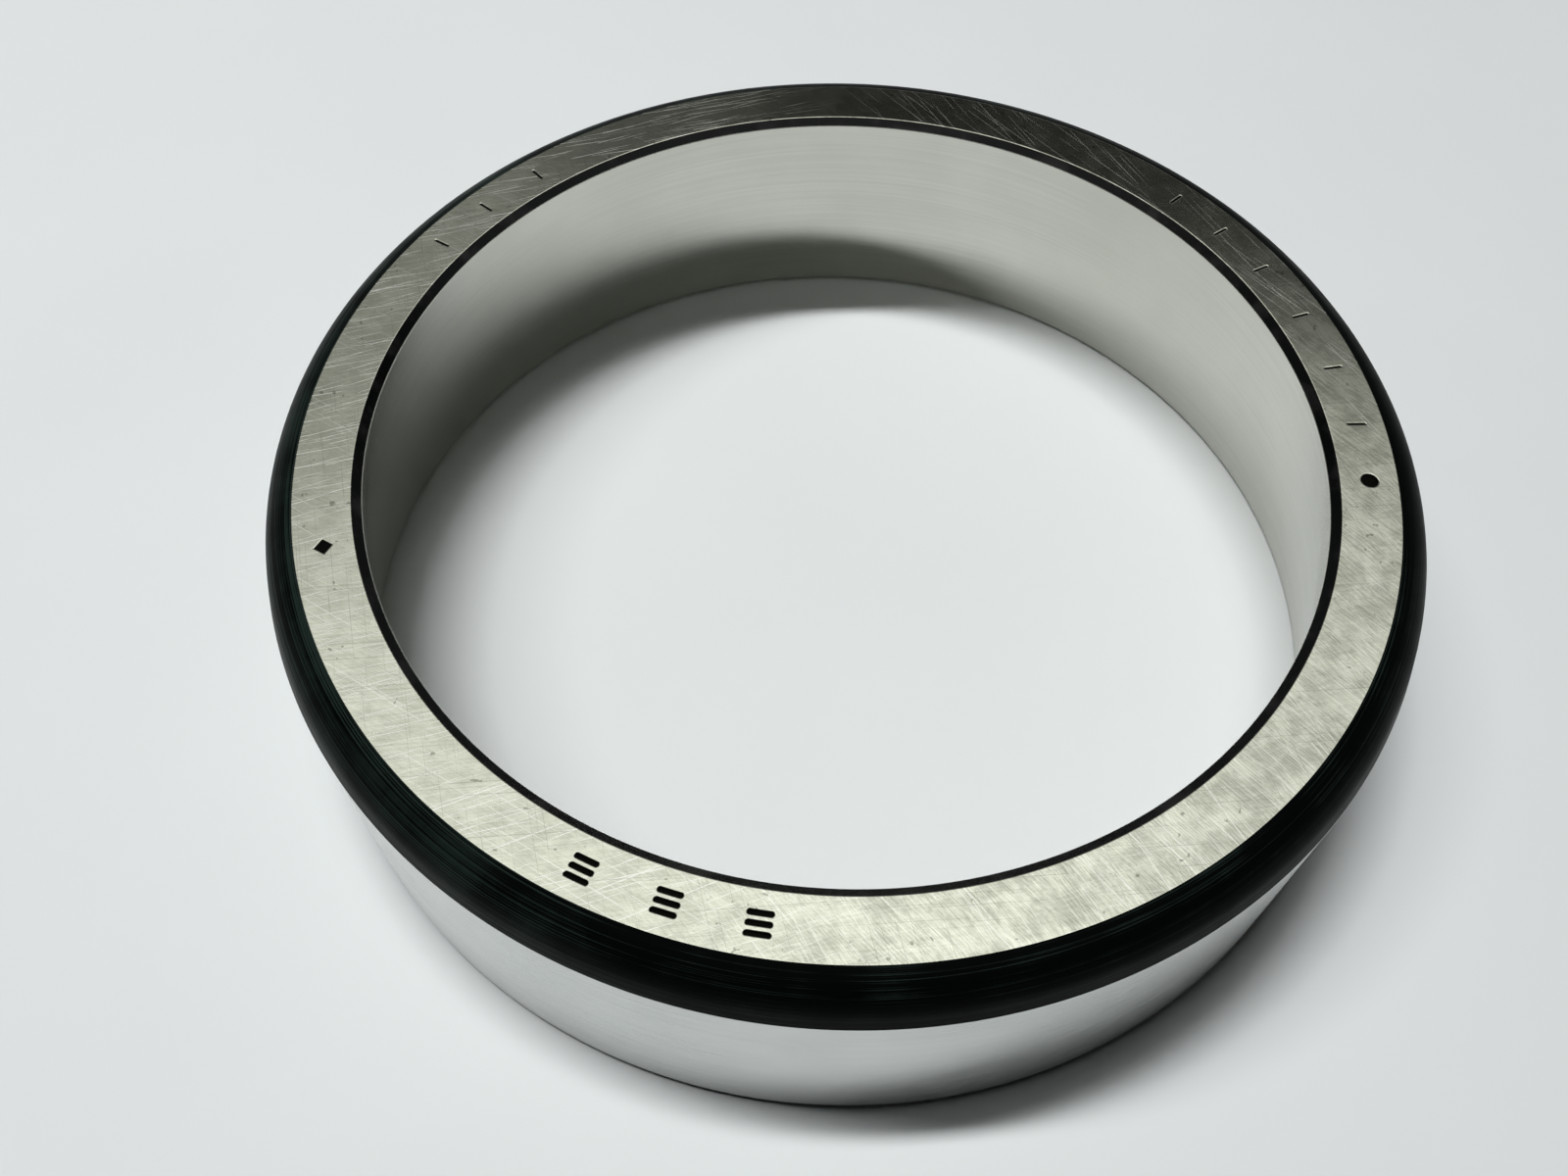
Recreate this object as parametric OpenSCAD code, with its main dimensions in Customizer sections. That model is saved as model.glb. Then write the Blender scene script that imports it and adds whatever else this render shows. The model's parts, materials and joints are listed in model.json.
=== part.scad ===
// Cup (separable outer ring) of a tapered roller bearing, inch series.
// The ring stands on its thin front face, with its stamped back face up.
// Origin: centre of the front face. +Z is the bearing axis.

/* [Ring] */
// Outside diameter of the ground housing seat
outside_d = 101.6; // [100:0.1:120]
// Width over the front and back faces
ring_w = 26.988; // [22:0.001:30]
// Raceway radius where it meets the back chamfer
race_small_r = 41.8; // [38:0.1:42]
// Raceway angle, measured from the bearing axis
race_angle = 10.94; // [9:0.01:12]

/* [Back face edges] */
// Radial size of the turned outer corner
corner_radial = 3.3; // [2.5:0.1:4]
// Axial size of the turned outer corner, with its lead
corner_axial = 4.2; // [3.8:0.1:5]
// Radial size of the lead cone below the corner
lead_radial = 0.3; // [0.1:0.05:0.4]
// Axial length of the lead cone
lead_axial = 1.3; // [1:0.1:1.5]
// Radial size of the inner chamfer
back_chamfer_radial = 0.8; // [0.5:0.1:1.2]
// Axial size of the inner chamfer
back_chamfer_axial = 0.6; // [0.4:0.1:1]

/* [Front face edges] */
// Radius of the rounded outer corner
front_corner_r = 0.9; // [0.4:0.1:1.2]
// Size of the inner chamfer
front_chamfer = 0.4; // [0.2:0.1:0.6]

/* [Stamped marks] */
// Radius of the circle that the marks sit on
mark_circle_r = 45.1; // [44.6:0.1:45.4]
// Depth of the bold bars
bar_depth = 0.3; // [0.1:0.05:0.5]
// Length of a bold bar
bar_l = 2; // [1.2:0.1:2.4]
// Width of a bold bar
bar_w = 0.45; // [0.3:0.05:0.5]
// Distance between neighbouring bold bars
bar_pitch = 0.78; // [0.7:0.02:0.9]
// Depth of the fine ticks
tick_depth = 0.15; // [0.05:0.05:0.3]
// Length of a fine tick
tick_l = 1.7; // [1:0.1:2.2]
// Width of a fine tick
tick_w = 0.3; // [0.2:0.05:0.5]
// Radius of the round punch mark
dot_r = 0.75; // [0.5:0.05:1]
// Half diagonal of the square punch mark
square_r = 0.8; // [0.5:0.05:1]

/* [Hidden] */

$fn = 256;
overcut = 1;
outside_r = outside_d / 2;

// Raceway cone, from the back chamfer down to the front chamfer
race_top_z = ring_w - back_chamfer_axial;
race_large_r = race_small_r + (race_top_z - front_chamfer) * tan(race_angle);
back_inner_r = race_small_r + back_chamfer_radial;
front_inner_r = race_large_r + front_chamfer;

// Outer corner: one arc from the back face to the lead cone, tangent to the cone
face_edge = [outside_r - corner_radial, ring_w];
lead_top = [outside_r - lead_radial, ring_w - corner_axial + lead_axial];
lead_bottom = [outside_r, ring_w - corner_axial];
lead_normal = [lead_axial, lead_radial] / norm([lead_axial, lead_radial]);
corner_chord = lead_top - face_edge;
corner_r = (corner_chord * corner_chord) / (2 * (corner_chord * lead_normal));
corner_centre = lead_top - corner_r * lead_normal;

// Angles of the marks round the back face
bold_angles = [-112, -103.5, -95];
group_angles = [136, 144.5, 152.5];
row_angles = [5, 13.5, 22, 30.5, 38, 45.5];
dot_angle = -3;
square_angle = -160;

// Straight-sided section, before its outer corners are rounded
module blank_section() {
    polygon([
        [front_inner_r, 0],
        [outside_r, 0],
        lead_bottom,
        lead_top,
        [lead_top.x, ring_w],
        [back_inner_r, ring_w],
        [race_small_r, race_top_z],
        [race_large_r, front_chamfer]
    ]);
}

// What the turned outer corner takes off the section
module back_corner_waste() {
    difference() {
        polygon([
            face_edge,
            [face_edge.x, ring_w + overcut],
            [outside_r + overcut, ring_w + overcut],
            [outside_r + overcut, lead_top.y],
            lead_top
        ]);
        translate(corner_centre) circle(r = corner_r);
    }
}

// What the rounded front corner takes off the section
module front_corner_waste() {
    difference() {
        translate([outside_r - front_corner_r, -overcut])
            square([front_corner_r + overcut, front_corner_r + overcut]);
        translate([outside_r - front_corner_r, front_corner_r]) circle(r = front_corner_r);
    }
}

module ring_section() {
    difference() {
        blank_section();
        back_corner_waste();
        front_corner_waste();
    }
}

// Puts its children on the mark circle, with +X pointing outward
module on_back_face(angle) {
    rotate([0, 0, angle])
        translate([mark_circle_r, 0, ring_w])
            children();
}

// Recess with round ends, its length along Y
module slot_cut(length, breadth, depth) {
    straight = length - breadth;
    translate([0, 0, -depth]) linear_extrude(height = depth + overcut) {
        square([breadth, straight], center = true);
        for (side = [-1, 1]) translate([0, side * straight / 2]) circle(d = breadth, $fn = 32);
    }
}

// Bold mark: three bars along the rim
module bold_mark() {
    for (row = [-1:1]) translate([row * bar_pitch, 0, 0]) slot_cut(bar_l, bar_w, bar_depth);
}

// Fine mark: one tick across the face
module fine_mark() {
    rotate([0, 0, 90]) slot_cut(tick_l, tick_w, tick_depth);
}

module stamped_marks() {
    for (angle = bold_angles) on_back_face(angle) bold_mark();
    for (angle = concat(group_angles, row_angles)) on_back_face(angle) fine_mark();
    on_back_face(dot_angle)
        translate([0, 0, -bar_depth]) cylinder(r = dot_r, h = bar_depth + overcut, $fn = 48);
    on_back_face(square_angle)
        translate([0, 0, -tick_depth]) cylinder(r = square_r, h = tick_depth + overcut, $fn = 4);
}

module bearing_cup() {
    color("silver") difference() {
        rotate_extrude() ring_section();
        stamped_marks();
    }
}

bearing_cup();
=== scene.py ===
import json
import math

import bpy
from mathutils import Matrix, Vector


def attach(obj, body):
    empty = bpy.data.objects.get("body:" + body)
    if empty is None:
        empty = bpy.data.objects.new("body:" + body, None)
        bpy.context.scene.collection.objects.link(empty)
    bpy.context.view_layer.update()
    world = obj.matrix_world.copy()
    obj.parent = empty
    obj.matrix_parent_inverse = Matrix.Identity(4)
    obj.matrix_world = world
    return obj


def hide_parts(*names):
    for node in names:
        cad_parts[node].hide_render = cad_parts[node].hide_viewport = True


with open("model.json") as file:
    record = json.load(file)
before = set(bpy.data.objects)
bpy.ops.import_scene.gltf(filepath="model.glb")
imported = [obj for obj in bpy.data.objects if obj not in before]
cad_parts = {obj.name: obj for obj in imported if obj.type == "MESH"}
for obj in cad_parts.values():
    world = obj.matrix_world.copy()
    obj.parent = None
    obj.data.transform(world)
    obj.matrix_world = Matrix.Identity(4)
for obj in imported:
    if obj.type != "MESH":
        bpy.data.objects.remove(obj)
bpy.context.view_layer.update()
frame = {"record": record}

# The cup of a tapered roller bearing: one turned, hardened and ground steel ring.
# It is lathed here from the same section as the CAD ring, with the micro-rounded
# edges and the stamped recesses that its finish needs. Lengths are in millimetres
# and become metres only when the mesh is written.

MM = 0.001

# ---------------------------------------------------------------- sizes from the frame
MOUNTS = {mount["name"]: mount for mount in frame["record"]["mounts"]}
SEAT = MOUNTS["housing_seat"]
OUTSIDE_R = SEAT["dims"]["r_mm"]
SEAT_W = SEAT["dims"]["length_mm"]
SEAT_MID_Z = SEAT["pos_m"][2] / MM
RING_W = MOUNTS["back_face"]["pos_m"][2] / MM
FRONT_CORNER_R = SEAT_MID_Z - SEAT_W / 2
LEAD_BOTTOM_Z = SEAT_MID_Z + SEAT_W / 2

# ---------------------------------------------------------------- sizes as in the CAD source
CORNER_RADIAL = 3.3
LEAD_RADIAL = 0.3
LEAD_AXIAL = 1.3
BACK_CHAMFER_RADIAL = 0.8
BACK_CHAMFER_AXIAL = 0.6
FRONT_CHAMFER = 0.4
RACE_SMALL_R = 41.8
RACE_ANGLE = math.radians(10.94)

MARK_CIRCLE_R = 45.1
BAR_DEPTH = 0.3
BAR_L = 2.0
BAR_W = 0.45
BAR_PITCH = 0.78
TICK_DEPTH = 0.15
TICK_L = 1.7
TICK_W = 0.3
DOT_R = 0.75
SQUARE_R = 0.8
BOLD_ANGLES = (-112, -103.5, -95)
TICK_ANGLES = (136, 144.5, 152.5, 5, 13.5, 22, 30.5, 38, 45.5)
DOT_ANGLE = -3
SQUARE_ANGLE = -160

# ---------------------------------------------------------------- how fine the mesh is
# Columns round the ring, before the finer ones at the marks
BASE_COLUMNS = 360
# Distance of a guard point from the end of a rounded edge
GUARD = 0.05
# Mesh size at a mark, and the fine mesh kept round it
MARK_STEP = 0.06
MARK_MARGIN = 2 * MARK_STEP
# Width of the sloping wall of a mark
WALL = 0.07
# Heights closer than this are the same
SAME = 1e-6

# The texture is cut into strips, one for each third of the ring, with a gap between them
UV_STRIPS = 3
UV_GAP = 0.004
STRIP_TURN = 360 / UV_STRIPS

# Surface zones of the ring, in the order of its material slots
GROUND, SCALE, SEAT_GROUND, HONED, BEVEL = range(5)
# How much texture each zone gets for its length
UV_SHARE = {GROUND: 1.8, SCALE: 1.4, SEAT_GROUND: 0.8, HONED: 0.7, BEVEL: 1.4}


# ================================================================ section
def fillet(before, corner, after, radius, steps):
    """The corner rounded by an arc, with a guard point on the straight at each end."""
    back = (before - corner).normalized()
    ahead = (after - corner).normalized()
    half = back.angle(ahead) / 2
    reach = radius / math.tan(half)
    centre = corner + (back + ahead).normalized() * radius / math.sin(half)
    start = corner + back * reach - centre
    end = corner + ahead * reach - centre
    sweep = math.pi - 2 * half
    points = [corner + back * (reach + GUARD)]
    for step in range(steps + 1):
        share = step / steps
        first = math.sin((1 - share) * sweep) / math.sin(sweep)
        second = math.sin(share * sweep) / math.sin(sweep)
        points.append(centre + start * first + end * second)
    points.append(corner + ahead * (reach + GUARD))
    return points


def back_corner_arc():
    """Points of the turned corner's arc, from the lead cone up to the back face."""
    face_edge = Vector((OUTSIDE_R - CORNER_RADIAL, RING_W))
    lead_top = Vector((OUTSIDE_R - LEAD_RADIAL, LEAD_BOTTOM_Z + LEAD_AXIAL))
    normal = Vector((LEAD_AXIAL, LEAD_RADIAL)).normalized()
    chord = lead_top - face_edge
    radius = chord.length_squared / (2 * chord.dot(normal))
    centre = lead_top - normal * radius
    low = math.atan2(normal.y, normal.x)
    rise = face_edge - centre
    high = math.atan2(rise.y, rise.x)
    arc_steps = 16
    points = []
    for step in range(arc_steps + 1):
        angle = low + (high - low) * step / arc_steps
        points.append(centre + radius * Vector((math.cos(angle), math.sin(angle))))
    return points


def section():
    """The ring's outline as (radius, height, zone of the band that follows)."""
    race_top_z = RING_W - BACK_CHAMFER_AXIAL
    race_large_r = RACE_SMALL_R + (race_top_z - FRONT_CHAMFER) * math.tan(RACE_ANGLE)
    arc = back_corner_arc()
    # corner, rounding radius, rounding steps, zone of the rounding, zone of the straight after it
    corners = [
        (Vector((race_large_r + FRONT_CHAMFER, 0)), 0.06, 3, GROUND, GROUND),
        (Vector((OUTSIDE_R, 0)), FRONT_CORNER_R, 10, SCALE, SEAT_GROUND),
        (Vector((OUTSIDE_R, LEAD_BOTTOM_Z)), 0.5, 3, SEAT_GROUND, SCALE),
        (arc[0], 0, 0, SCALE, SCALE),
    ]
    corners += [(point, 0, 0, SCALE, SCALE) for point in arc[1:-1]]
    corners += [
        (arc[-1], 0.2, 3, GROUND, GROUND),
        (Vector((RACE_SMALL_R + BACK_CHAMFER_RADIAL, RING_W)), 0.12, 4, GROUND, BEVEL),
        (Vector((RACE_SMALL_R, race_top_z)), 0.1, 4, HONED, HONED),
        (Vector((race_large_r, FRONT_CHAMFER)), 0.08, 3, HONED, HONED),
    ]
    outline = []
    for index, (corner, radius, steps, zone_round, zone_after) in enumerate(corners):
        if radius == 0:
            outline.append((corner.x, corner.y, zone_after))
            continue
        before, _, _, _, zone_before = corners[index - 1]
        after = corners[(index + 1) % len(corners)][0]
        points = fillet(before, corner, after, radius, steps)
        outline.append((points[0].x, points[0].y, zone_before))
        outline += [(point.x, point.y, zone_round) for point in points[1:-2]]
        outline += [(point.x, point.y, zone_after) for point in points[-2:]]
    return with_mark_rows(outline)


def with_mark_rows(outline):
    """Adds the fine rows of the back face that the stamped marks need."""
    reach = BAR_PITCH + BAR_W / 2 + MARK_MARGIN
    count = round(2 * reach / MARK_STEP)
    radii = [MARK_CIRCLE_R + reach - 2 * reach * step / count for step in range(count + 1)]
    rows = []
    for index, (radius, height, zone) in enumerate(outline):
        rows.append((radius, height, zone))
        next_radius, next_height, _ = outline[(index + 1) % len(outline)]
        on_face = abs(height - RING_W) < SAME and abs(next_height - RING_W) < SAME
        if on_face and radius > radii[0] and next_radius < radii[-1]:
            rows += [(r, RING_W, zone) for r in radii]
    return rows


# ================================================================ stamped marks
def slot_distance(across, along, length, breadth):
    """Distance to the edge of a slot with round ends, negative inside."""
    past_end = max(abs(along) - (length - breadth) / 2, 0)
    return math.hypot(across, past_end) - breadth / 2


def bold_distance(outward, sideways):
    """The same for three bars along the rim."""
    bars = (slot_distance(outward - row * BAR_PITCH, sideways, BAR_L, BAR_W) for row in (-1, 0, 1))
    return min(bars)


def tick_distance(outward, sideways):
    """The same for one tick across the face."""
    return slot_distance(sideways, outward, TICK_L, TICK_W)


def dot_distance(outward, sideways):
    """The same for the round punch mark."""
    return math.hypot(outward, sideways) - DOT_R


def square_distance(outward, sideways):
    """The same for the square punch mark, which points outward."""
    return (abs(outward) + abs(sideways) - SQUARE_R) / math.sqrt(2)


# angle, distance function, depth, half width along the rim
MARKS = [(angle, bold_distance, BAR_DEPTH, BAR_L / 2) for angle in BOLD_ANGLES]
MARKS += [(angle, tick_distance, TICK_DEPTH, TICK_W / 2) for angle in TICK_ANGLES]
MARKS.append((DOT_ANGLE, dot_distance, BAR_DEPTH, DOT_R))
MARKS.append((SQUARE_ANGLE, square_distance, TICK_DEPTH, SQUARE_R))


def smooth(value):
    """The value held between 0 and 1, with a soft start and end."""
    value = min(max(value, 0), 1)
    return value * value * (3 - 2 * value)


def mark_depth(mark, radius, angle):
    """How deep the stamp has pressed the back face at this place."""
    centre_angle, distance, depth, _ = mark
    turn = math.radians(angle - centre_angle)
    outward = radius * math.cos(turn) - MARK_CIRCLE_R
    sideways = radius * math.sin(turn)
    return depth * smooth(-distance(outward, sideways) / WALL)


def column_angles():
    """Angles of the mesh's columns in degrees, finer where a mark is, and the mark there."""
    # Angles are rounded, so that a fine column replaces a coarse one at the same angle
    columns = {}
    for index in range(BASE_COLUMNS):
        columns[round(index * 360 / BASE_COLUMNS, 6)] = None
    for mark in MARKS:
        centre_angle, _, _, half_width = mark
        half = math.degrees((half_width + MARK_MARGIN) / MARK_CIRCLE_R)
        count = round(2 * half / math.degrees(MARK_STEP / MARK_CIRCLE_R))
        low = (centre_angle - half) % 360
        coarse = [a for a in columns if columns[a] is None and 0 < (a - low) % 360 < 2 * half]
        for angle in coarse:
            if angle % STRIP_TURN != 0:
                del columns[angle]
        for step in range(count + 1):
            columns[round((low + 2 * half * step / count) % 360, 6)] = mark
    return sorted(columns.items())


# ================================================================ ring mesh
def strip_heights(rows):
    """Height of each row in a texture strip, from 0 to 1, with more room for the detailed zones."""
    heights = [0.0]
    for index, (radius, height, zone) in enumerate(rows):
        next_radius, next_height, _ = rows[(index + 1) % len(rows)]
        length = math.hypot(next_radius - radius, next_height - height)
        heights.append(heights[-1] + length * UV_SHARE[zone])
    return [height / heights[-1] for height in heights]


def strip_uv(angle, side, height):
    """Texture place in the strip that the quad's first column, at angle, belongs to."""
    strip = int(angle // STRIP_TURN)
    u = (side - strip * STRIP_TURN) / STRIP_TURN
    v = (strip + UV_GAP + height * (1 - 2 * UV_GAP)) / UV_STRIPS
    return u, v


def ring_mesh():
    """The section turned round the axis, one column of points at each angle."""
    rows = section()
    columns = column_angles()
    vertices = []
    for angle, mark in columns:
        cosine = math.cos(math.radians(angle))
        sine = math.sin(math.radians(angle))
        for radius, height, _ in rows:
            pressed = 0
            if mark and height > RING_W - SAME:
                pressed = mark_depth(mark, radius, angle)
            vertices.append((radius * cosine * MM, radius * sine * MM, (height - pressed) * MM))
    faces, zones, uvs = [], [], []
    heights = strip_heights(rows)
    for column, (angle, _) in enumerate(columns):
        following = (column + 1) % len(columns)
        next_angle = columns[following][0] if following else 360
        for row, (_, _, zone) in enumerate(rows):
            above = (row + 1) % len(rows)
            faces.append((
                column * len(rows) + row,
                following * len(rows) + row,
                following * len(rows) + above,
                column * len(rows) + above,
            ))
            zones.append(zone)
            uvs += [
                strip_uv(angle, angle, heights[row]),
                strip_uv(angle, next_angle, heights[row]),
                strip_uv(angle, next_angle, heights[row + 1]),
                strip_uv(angle, angle, heights[row + 1]),
            ]
    mesh = bpy.data.meshes.new("cup_ring")
    mesh.from_pydata(vertices, [], faces)
    mesh.polygons.foreach_set("material_index", zones)
    mesh.polygons.foreach_set("use_smooth", [True] * len(faces))
    layer = mesh.uv_layers.new(name="OFBake")
    layer.uv.foreach_set("vector", [number for uv in uvs for number in uv])
    mesh.validate()
    mesh.update()
    return mesh


def add_object(name, data):
    """Puts a new object with this data in the scene."""
    made = bpy.data.objects.new(name, data)
    bpy.context.scene.collection.objects.link(made)
    return made


# ================================================================ material nodes
class Graph:
    """Adds nodes to one material or world by short calls that return sockets."""

    def __init__(self, tree):
        self.tree = tree

    def put(self, socket, value):
        if isinstance(value, bpy.types.NodeSocket):
            self.tree.links.new(value, socket)
        else:
            socket.default_value = value

    def node(self, kind, inputs=None, **settings):
        made = self.tree.nodes.new("ShaderNode" + kind)
        for name, setting in settings.items():
            setattr(made, name, setting)
        for name, value in (inputs or {}).items():
            self.put(made.inputs[name], value)
        return made

    def math(self, operation, first, second=0.0):
        return self.node("Math", {0: first, 1: second}, operation=operation).outputs[0]

    def chain(self, operation, values):
        """One operation over two or more values, from the first to the last."""
        result = values[0]
        for value in values[1:]:
            result = self.math(operation, result, value)
        return result

    def add(self, *values):
        return self.chain("ADD", values)

    def times(self, *values):
        return self.chain("MULTIPLY", values)

    def most(self, *values):
        return self.chain("MAXIMUM", values)

    def weigh(self, share, first, second):
        """A fixed share of first, and the rest of second."""
        return self.add(self.times(first, share), self.times(second, 1 - share))

    def mix(self, share, first, second):
        """first where share is 0, second where it is 1."""
        return self.node("Mix", {0: share, 2: first, 3: second}).outputs[0]

    def blend(self, share, first, second):
        """The same as mix, for colours."""
        made = self.node("Mix", {0: share}, data_type="RGBA")
        self.put(made.inputs[6], (*first, 1) if isinstance(first, tuple) else first)
        self.put(made.inputs[7], (*second, 1) if isinstance(second, tuple) else second)
        return made.outputs[2]

    def ramp(self, value, low, high, start=0.0, end=1.0):
        """start up to low, end from high on, and a smooth change between."""
        inputs = {"Value": value, "From Min": low, "From Max": high, "To Min": start, "To Max": end}
        return self.node("MapRange", inputs, interpolation_type="SMOOTHSTEP").outputs["Result"]

    def place(self):
        return self.node("TexCoord").outputs["Object"]

    def split(self, vector):
        return self.node("SeparateXYZ", {"Vector": vector}).outputs

    def join(self, x, y, z):
        return self.node("CombineXYZ", {"X": x, "Y": y, "Z": z}).outputs[0]

    def noise(self, vector, detail, roughness=0.5, scale=1.0):
        inputs = {"Vector": vector, "Scale": scale, "Detail": detail, "Roughness": roughness}
        return self.node("TexNoise", inputs).outputs[0]

    def bump(self, height, depth):
        inputs = {"Strength": 1.0, "Distance": depth * MM, "Height": height}
        return self.node("Bump", inputs).outputs["Normal"]


def new_material(name, metallic, specular=0.5):
    """A new material, the graph that adds nodes to it, and its shader."""
    material = bpy.data.materials.new(name)
    material.use_nodes = True
    shader = material.node_tree.nodes["Principled BSDF"]
    shader.inputs["Metallic"].default_value = metallic
    shader.inputs["Specular IOR Level"].default_value = specular
    return material, Graph(material.node_tree), shader


def streaks(g, angle, length, width, start):
    """Grinding grain along angle, from 0 to 1, in streaks of about length by width.

    start shifts the pattern, so that no two passes of the wheel are alike.
    """
    inputs = {
        "Vector": g.place(),
        "Location": (start * MM, start * MM, 0),
        "Rotation": (0, 0, math.radians(angle)),
        "Scale": (length * MM, width * MM, 1),
    }
    stretched = g.node("Mapping", inputs, vector_type="TEXTURE").outputs[0]
    return g.noise(stretched, 3.0, 0.65)


def scratches(g, angle, length, gap, start):
    """Single straight scratches along angle: 1 on a scratch and 0 between.

    They lie in lanes about gap wide, in pieces of about length, and start shifts the pattern.
    """
    inputs = {"Vector": g.place(), "Rotation": (0, 0, math.radians(angle))}
    turned = g.node("Mapping", inputs, vector_type="TEXTURE").outputs[0]
    way, across, _ = g.split(turned)
    lane = g.add(g.math("DIVIDE", across, gap * MM), start)
    line = g.node("TexNoise", {"W": lane, "Scale": 1.0, "Detail": 0.0}, noise_dimensions="1D")
    piece = g.join(g.math("DIVIDE", way, length * MM), g.times(lane, 1.7), start)
    on_lane = g.ramp(line.outputs[0], 0.66, 0.74)
    on_piece = g.ramp(g.noise(piece, 0.0), 0.56, 0.62)
    return g.times(on_lane, on_piece)


def turned_lines(g, width, reach):
    """Lines that run round the ring: they change over width across it, and over reach along it."""
    x, y, z = g.split(g.place())
    radius = g.math("SQRT", g.add(g.times(x, x), g.times(y, y)))
    # The radius counts as well as the height, for lines where the surface is nearly level
    radius_share = 0.55
    across = g.math("SUBTRACT", z, g.times(radius, radius_share))
    lines = g.join(
        g.math("DIVIDE", across, width * MM),
        g.math("DIVIDE", x, reach * MM),
        g.math("DIVIDE", y, reach * MM),
    )
    return g.noise(lines, 2.0)


# ================================================================ ring materials
def ground_hatch(g, x):
    """The crossing passes of the grinding wheel: nearly level at the left, steep at the right."""
    right = g.ramp(x, -25 * MM, 12 * MM)
    patch = g.ramp(g.noise(g.place(), 1.0, 0.5, 230.0), 0.44, 0.56)
    passes = g.mix(patch, streaks(g, -44, 4, 0.13, 3), streaks(g, -53, 4, 0.14, 43))
    steep = g.weigh(0.6, passes, streaks(g, -40, 3, 0.08, 11))
    level = g.weigh(0.5, streaks(g, 10, 8, 0.20, 17), streaks(g, -24, 6, 0.11, 29))
    main = g.mix(right, level, steep)
    other = g.mix(right, steep, level)
    return g.weigh(0.78, main, other)


def scratches_with_painted_glints(g, x):
    """Scratches painted bright as glints, as if they caught the light: shallow ones at the left,
    steep ones at the right.
    """
    shallow = g.most(
        scratches(g, 17, 7, 0.17, 4.1),
        scratches(g, 27, 5, 0.15, 26.7),
        scratches(g, 22, 4, 0.14, 71.9),
        g.times(scratches(g, -28, 8, 0.15, 36.7), 0.6),
    )
    steep = g.most(scratches(g, -47, 8, 0.16, 15.3), scratches(g, -59, 7, 0.15, 47.9))
    at_left = g.ramp(x, -20 * MM, 8 * MM, 0.85, 0.15)
    at_right = g.ramp(x, -20 * MM, 5 * MM, 0.0, 0.6)
    return g.most(g.times(shallow, at_left), g.times(steep, at_right))


def inside_marks(g, z):
    """1 in the stamped marks and down the rounded edges of the back face, 0 elsewhere."""
    # Depths below the face: where the black starts, where it is full, and deeper than any mark
    start, full, past = 0.004, 0.06, 1.0
    black = g.ramp(z, (RING_W - full) * MM, (RING_W - start) * MM, 1.0, 0.0)
    near_face = g.math("GREATER_THAN", z, (RING_W - past) * MM)
    return g.times(black, near_face)


def ground_material():
    """Faces ground flat: crossing grain, single scratches, some of them painted bright as glints,
    small stains and black marks.
    """
    material, g, shader = new_material("ground_face", metallic=1.0)
    x, _, z = g.split(g.place())
    hatch = ground_hatch(g, x)
    grain = g.ramp(hatch, 0.40, 0.60)
    mottle = g.ramp(g.noise(g.place(), 5.0, 0.68, 420.0), 0.37, 0.63)
    contrast = g.ramp(x, -20 * MM, 15 * MM, 0.5, 1.05)
    middle = 0.5
    tone = g.weigh(0.56, grain, mottle)
    tone = g.add(g.times(g.math("SUBTRACT", tone, middle), contrast), middle)
    steel = g.blend(tone, (0.36, 0.366, 0.295), (0.80, 0.808, 0.675))

    bright = scratches_with_painted_glints(g, x)
    dark = g.most(scratches(g, -72, 6, 0.12, 57.1), scratches(g, 8, 8, 0.13, 68.3))
    stains = g.ramp(g.noise(g.place(), 1.0, 0.5, 1500.0), 0.73, 0.78)
    marked = inside_marks(g, z)
    # Painted glints: the scratches are real, their near-white colour stands in for the light they
    # catch
    steel = g.blend(bright, steel, (0.97, 0.97, 0.90))
    steel = g.blend(g.times(dark, 0.35), steel, (0.20, 0.205, 0.16))
    steel = g.blend(g.times(stains, 0.6), steel, (0.13, 0.135, 0.10))
    steel = g.blend(marked, steel, (0.008, 0.008, 0.007))
    g.put(shader.inputs["Base Color"], steel)

    rough = g.ramp(hatch, 0.38, 0.62, 0.19, 0.13)
    rough = g.most(rough, g.times(bright, 0.45), g.times(marked, 0.7))
    g.put(shader.inputs["Roughness"], rough)
    relief = g.add(hatch, g.times(bright, 0.4))
    g.put(shader.inputs["Normal"], g.bump(relief, 0.0016))
    return material


def scale_material():
    """Turned corners still black from heat treatment, with the tool's fine rings, and a painted
    reflection that makes them paler at the left.
    """
    material, g, shader = new_material("black_scale", metallic=0.0)
    shader.inputs["IOR"].default_value = 1.09
    rings = turned_lines(g, 0.09, 40)
    cloud = g.noise(g.place(), 3.0, 0.6, 160.0)
    x = g.split(g.place())[0]
    # Painted reflection: the scale is made paler, and a little glossier, towards the left, where it
    # would mirror the lighter room
    painted_left_sheen = g.ramp(x, 5 * MM, -30 * MM, 0.0, 0.09)
    tone = g.add(g.weigh(0.7, rings, cloud), painted_left_sheen)
    colour = g.blend(g.ramp(tone, 0.53, 0.70), (0.0004, 0.0008, 0.0007), (0.014, 0.0235, 0.0195))
    g.put(shader.inputs["Base Color"], colour)
    g.put(shader.inputs["Roughness"], g.ramp(tone, 0.35, 0.65, 0.50, 0.34))
    g.put(shader.inputs["Normal"], g.bump(rings, 0.006))
    return material


def bevel_material():
    """The narrow bevel beside the raceway: black too, but worn smooth."""
    material, g, shader = new_material("worn_bevel", metallic=0.0)
    shader.inputs["IOR"].default_value = 1.2
    rings = turned_lines(g, 0.10, 30)
    worn = g.ramp(g.noise(g.place(), 3.0, 0.6, 260.0), 0.45, 0.75)
    colour = g.blend(g.times(rings, worn), (0.0015, 0.002, 0.0018), (0.026, 0.027, 0.0245))
    g.put(shader.inputs["Base Color"], colour)
    g.put(shader.inputs["Roughness"], g.ramp(worn, 0.0, 1.0, 0.20, 0.12))
    g.put(shader.inputs["Normal"], g.bump(rings, 0.002))
    return material


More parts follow.
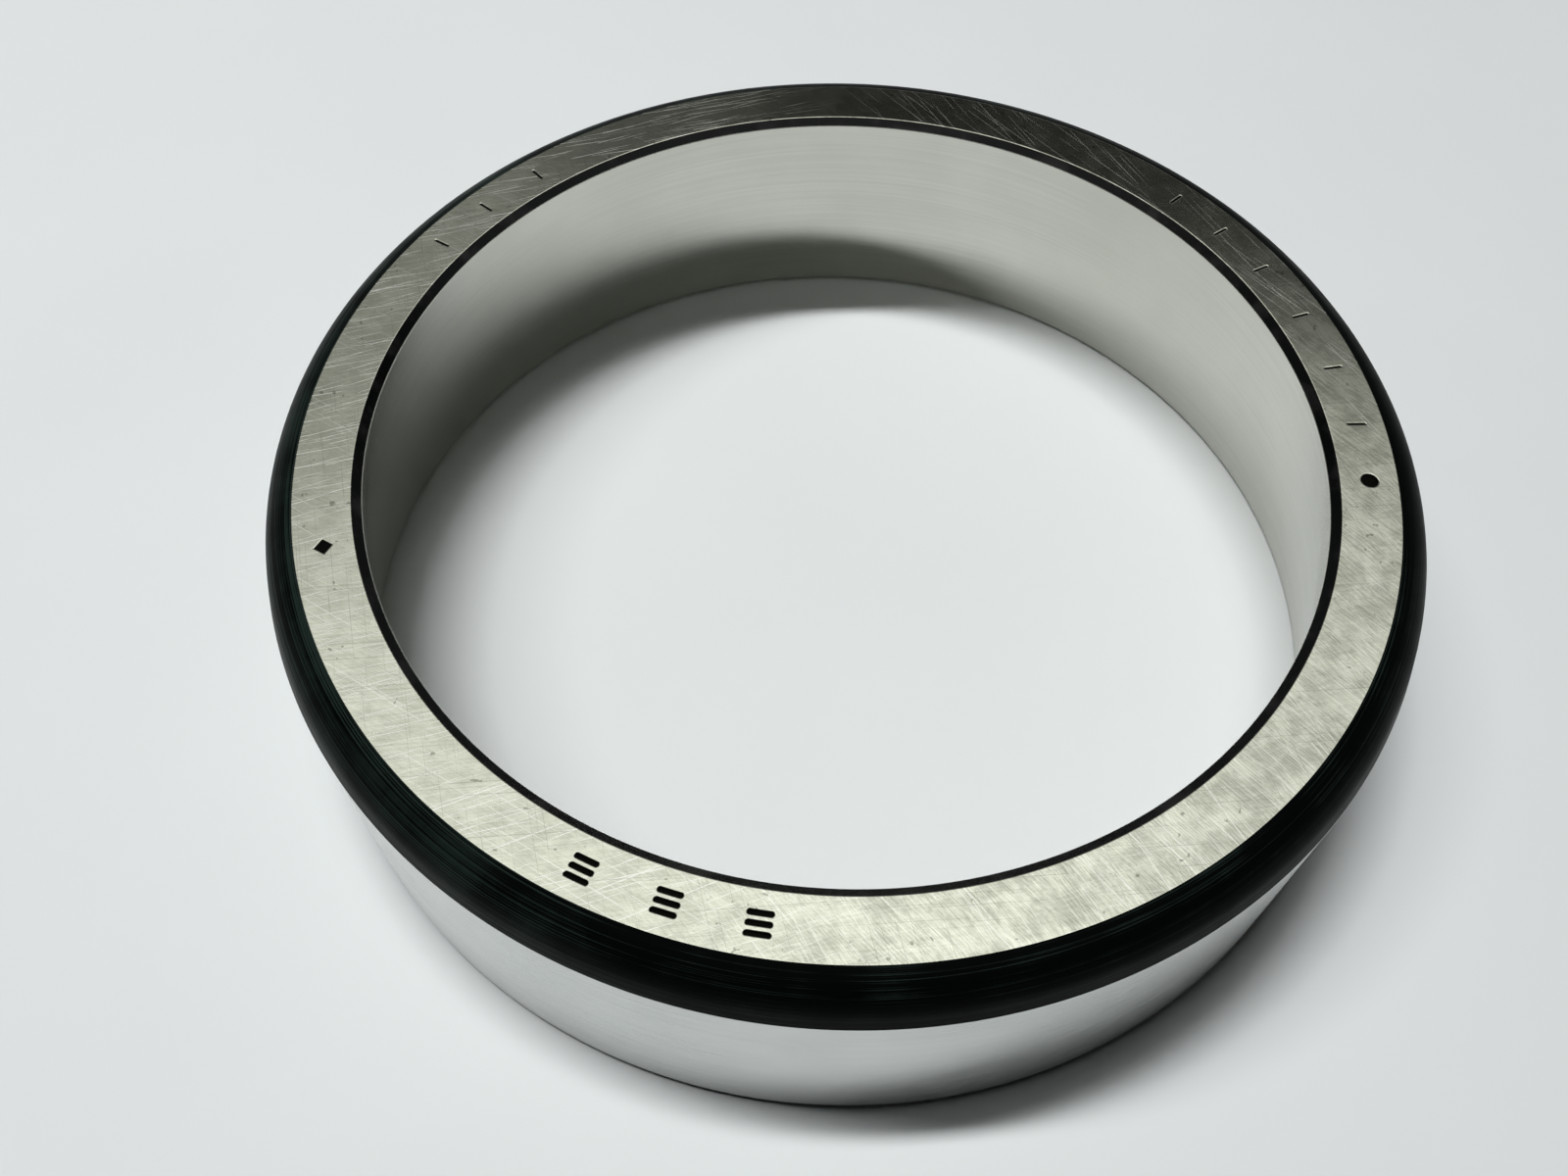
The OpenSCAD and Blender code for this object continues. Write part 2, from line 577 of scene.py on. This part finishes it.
def round_ground(name, line_width, line_reach, line_share, cloud_scale, colours, roughness, relief):
    """Bright steel ground round: faint lines and a slow cloud change its colour and gloss."""
    material, g, shader = new_material(name, metallic=1.0)
    rings = turned_lines(g, line_width, line_reach)
    cloud = g.noise(g.place(), 3.0, 0.55, cloud_scale)
    value = g.weigh(line_share, rings, cloud)
    g.put(shader.inputs["Base Color"], g.blend(g.ramp(value, 0.35, 0.65), *colours))
    g.put(shader.inputs["Roughness"], g.ramp(value, 0.35, 0.65, *roughness))
    g.put(shader.inputs["Normal"], g.bump(rings, relief))
    return material


def seat_material():
    """The outside: satin with faint rings."""
    return round_ground(
        "ground_seat",
        line_width=0.10,
        line_reach=25,
        line_share=0.5,
        cloud_scale=70.0,
        colours=((0.50, 0.515, 0.503), (0.57, 0.585, 0.573)),
        roughness=(0.28, 0.22),
        relief=0.0006,
    )


def honed_material():
    """The raceway: the smoothest surface, with very faint rings and handling marks."""
    return round_ground(
        "honed_raceway",
        line_width=0.16,
        line_reach=30,
        line_share=0.45,
        cloud_scale=55.0,
        colours=((0.53, 0.53, 0.48), (0.60, 0.60, 0.55)),
        roughness=(0.18, 0.13),
        relief=0.0003,
    )


# ================================================================ room, in metres
def floor_material(name, glow):
    """Matt and pale. glow is the light that its higher parts give off, for a pale background."""
    material, g, shader = new_material(name, metallic=0.0, specular=0.2)
    cloud = g.noise(g.place(), 3.0, 0.5, 30.0)
    colour = g.blend(cloud, (0.80, 0.825, 0.825), (0.84, 0.865, 0.865))
    g.put(shader.inputs["Base Color"], colour)
    shader.inputs["Roughness"].default_value = 0.75
    if glow:
        height = g.split(g.place())[2]
        g.put(shader.inputs["Emission Color"], (0.95, 1.0, 0.99, 1))
        g.put(shader.inputs["Emission Strength"], g.ramp(height, -0.02, 0.12, 0.0, glow))
    return material


def flat_floor():
    """A square floor at height 0."""
    half = 1.5
    corners = [(-half, -half, 0), (half, -half, 0), (half, half, 0), (-half, half, 0)]
    mesh = bpy.data.meshes.new("floor")
    mesh.from_pydata(corners, [], [(0, 1, 2, 3)])
    mesh.materials.append(floor_material("pale_floor", glow=0.0))
    return add_object("floor", mesh)


def curved_sweep():
    """A wall all round that bends up from the floor. Only the camera sees it, behind low views."""
    flat_r, wall_r, top, lift = 0.65, 1.15, 1.4, 0.001
    bend_steps, turns = 12, 72
    bend = wall_r - flat_r
    profile = []
    for step in range(bend_steps + 1):
        angle = math.pi / 2 * step / bend_steps
        profile.append((flat_r + bend * math.sin(angle), lift + bend * (1 - math.cos(angle))))
    profile.append((wall_r, top))
    vertices = []
    for turn in range(turns):
        angle = 2 * math.pi * turn / turns
        vertices += [(r * math.cos(angle), r * math.sin(angle), z) for r, z in profile]
    count = len(profile)
    faces = []
    for turn in range(turns):
        here = turn * count
        there = (turn + 1) % turns * count
        faces += [(here + i, here + i + 1, there + i + 1, there + i) for i in range(count - 1)]
    mesh = bpy.data.meshes.new("sweep")
    mesh.from_pydata(vertices, [], faces)
    mesh.polygons.foreach_set("use_smooth", [True] * len(faces))
    mesh.materials.append(floor_material("pale_sweep", glow=0.36))
    sweep = add_object("sweep", mesh)
    sweep.visible_glossy = False
    sweep.visible_diffuse = False
    sweep.visible_shadow = False
    return sweep


def make_world():
    """What the steel mirrors: a pale ceiling, a low light at the left, and walls.

    The strips give all the light that lands on the floor, so the room is left out of
    diffuse light and the shadows stay as deep as a small lamp makes them. The one light
    of the room that does reach the floor gets there by way of the steel, and it is made
    stronger from the left and weaker from the right.
    """
    world = bpy.data.worlds.new("studio")
    bpy.context.scene.world = world
    world.use_nodes = True
    world.cycles_visibility.diffuse = False
    g = Graph(world.node_tree)
    # The direction looked in, from -1 to 1 along each axis
    x, y, z = g.split(g.node("TexCoord").outputs["Generated"])

    slope = g.add(g.times(x, 0.10), g.times(g.math("ABSOLUTE", x), 0.04))
    ceiling = g.ramp(g.add(z, slope), 0.68, 0.83, 0.0, 0.85)
    ceiling = g.add(ceiling, g.ramp(z, 0.82, 0.96, 0.0, 0.45))
    left = g.add(g.ramp(x, -0.02, -0.12, 0.0, 0.12), g.ramp(x, -0.18, -0.26, 0.0, 0.20))
    band = g.times(g.ramp(z, 0.57, 0.62), g.ramp(z, 0.80, 0.90, 1.0, 0.0))
    walls = g.most(g.ramp(y, 0.3, -0.4, 0.008, 0.15), g.ramp(z, 0.38, 0.53, 0.32, 0.0))
    level = g.add(walls, g.add(ceiling, g.times(left, band)))

    # A ray that has left a matt surface, such as the floor, gets here only by way of the steel
    from_floor = g.math("GREATER_THAN", g.node("LightPath").outputs["Diffuse Depth"], 0.5)
    bounced = g.ramp(x, -0.5, 0.3, 1.9, 0.25)
    level = g.times(level, g.mix(from_floor, 1.0, bounced))

    background = world.node_tree.nodes["Background"]
    g.put(background.inputs["Color"], (0.98, 1.0, 0.99, 1))
    g.put(background.inputs["Strength"], level)


def make_strip(name, near, far, energy):
    """A ceiling strip from near to far, which throws shadows and shows in no reflection."""
    run = near - far
    data = bpy.data.lights.new(name, "AREA")
    data.shape = "RECTANGLE"
    data.size = run.length
    data.size_y = 0.06
    data.energy = energy
    data.color = (0.99, 1.0, 1.0)
    light = add_object(name, data)
    turn = Matrix.Rotation(math.atan2(run.y, run.x), 4, "Z")
    light.matrix_world = Matrix.Translation((near + far) / 2) @ turn
    light.visible_glossy = False


def make_lights():
    """A bright strip over the ring, a weaker one further left, and a small one at the right."""
    height = 1.0
    start = Vector((0.02, 0.07, height))
    middle = Vector((-0.30, 0.025, height))
    end = Vector((-0.62, -0.02, height))
    make_strip("key", start, middle, 6.6)
    make_strip("tail", middle, end, 2.4)
    make_strip("spill", Vector((0.10, 0.08, height)), Vector((0.02, 0.04, height)), 0.5)


def make_camera():
    """The camera stands in front of the ring and looks down at it."""
    distance, height = 0.0780, 0.1198
    turn, down, roll = math.radians(3.857), math.radians(56.564), math.radians(0.135)
    data = bpy.data.cameras.new("camera")
    data.lens = 31.54
    data.sensor_width = 36
    data.clip_start = 0.005
    camera = add_object("camera", data)
    camera.matrix_world = (
        Matrix.Translation((0, -distance, height))
        @ Matrix.Rotation(turn, 4, "Z")
        @ Matrix.Rotation(math.pi / 2 - down, 4, "X")
        @ Matrix.Rotation(roll, 4, "Z")
    )
    bpy.context.scene.camera = camera


# ================================================================ build
make_camera()
ring = add_object("cup_ring", ring_mesh())
for finish in (ground_material, scale_material, seat_material, honed_material, bevel_material):
    ring.data.materials.append(finish())
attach(ring, "root")
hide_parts("bearing_cup")

floor = flat_floor()
sweep = curved_sweep()
make_world()
make_lights()
bpy.context.scene.view_settings.view_transform = "Standard"
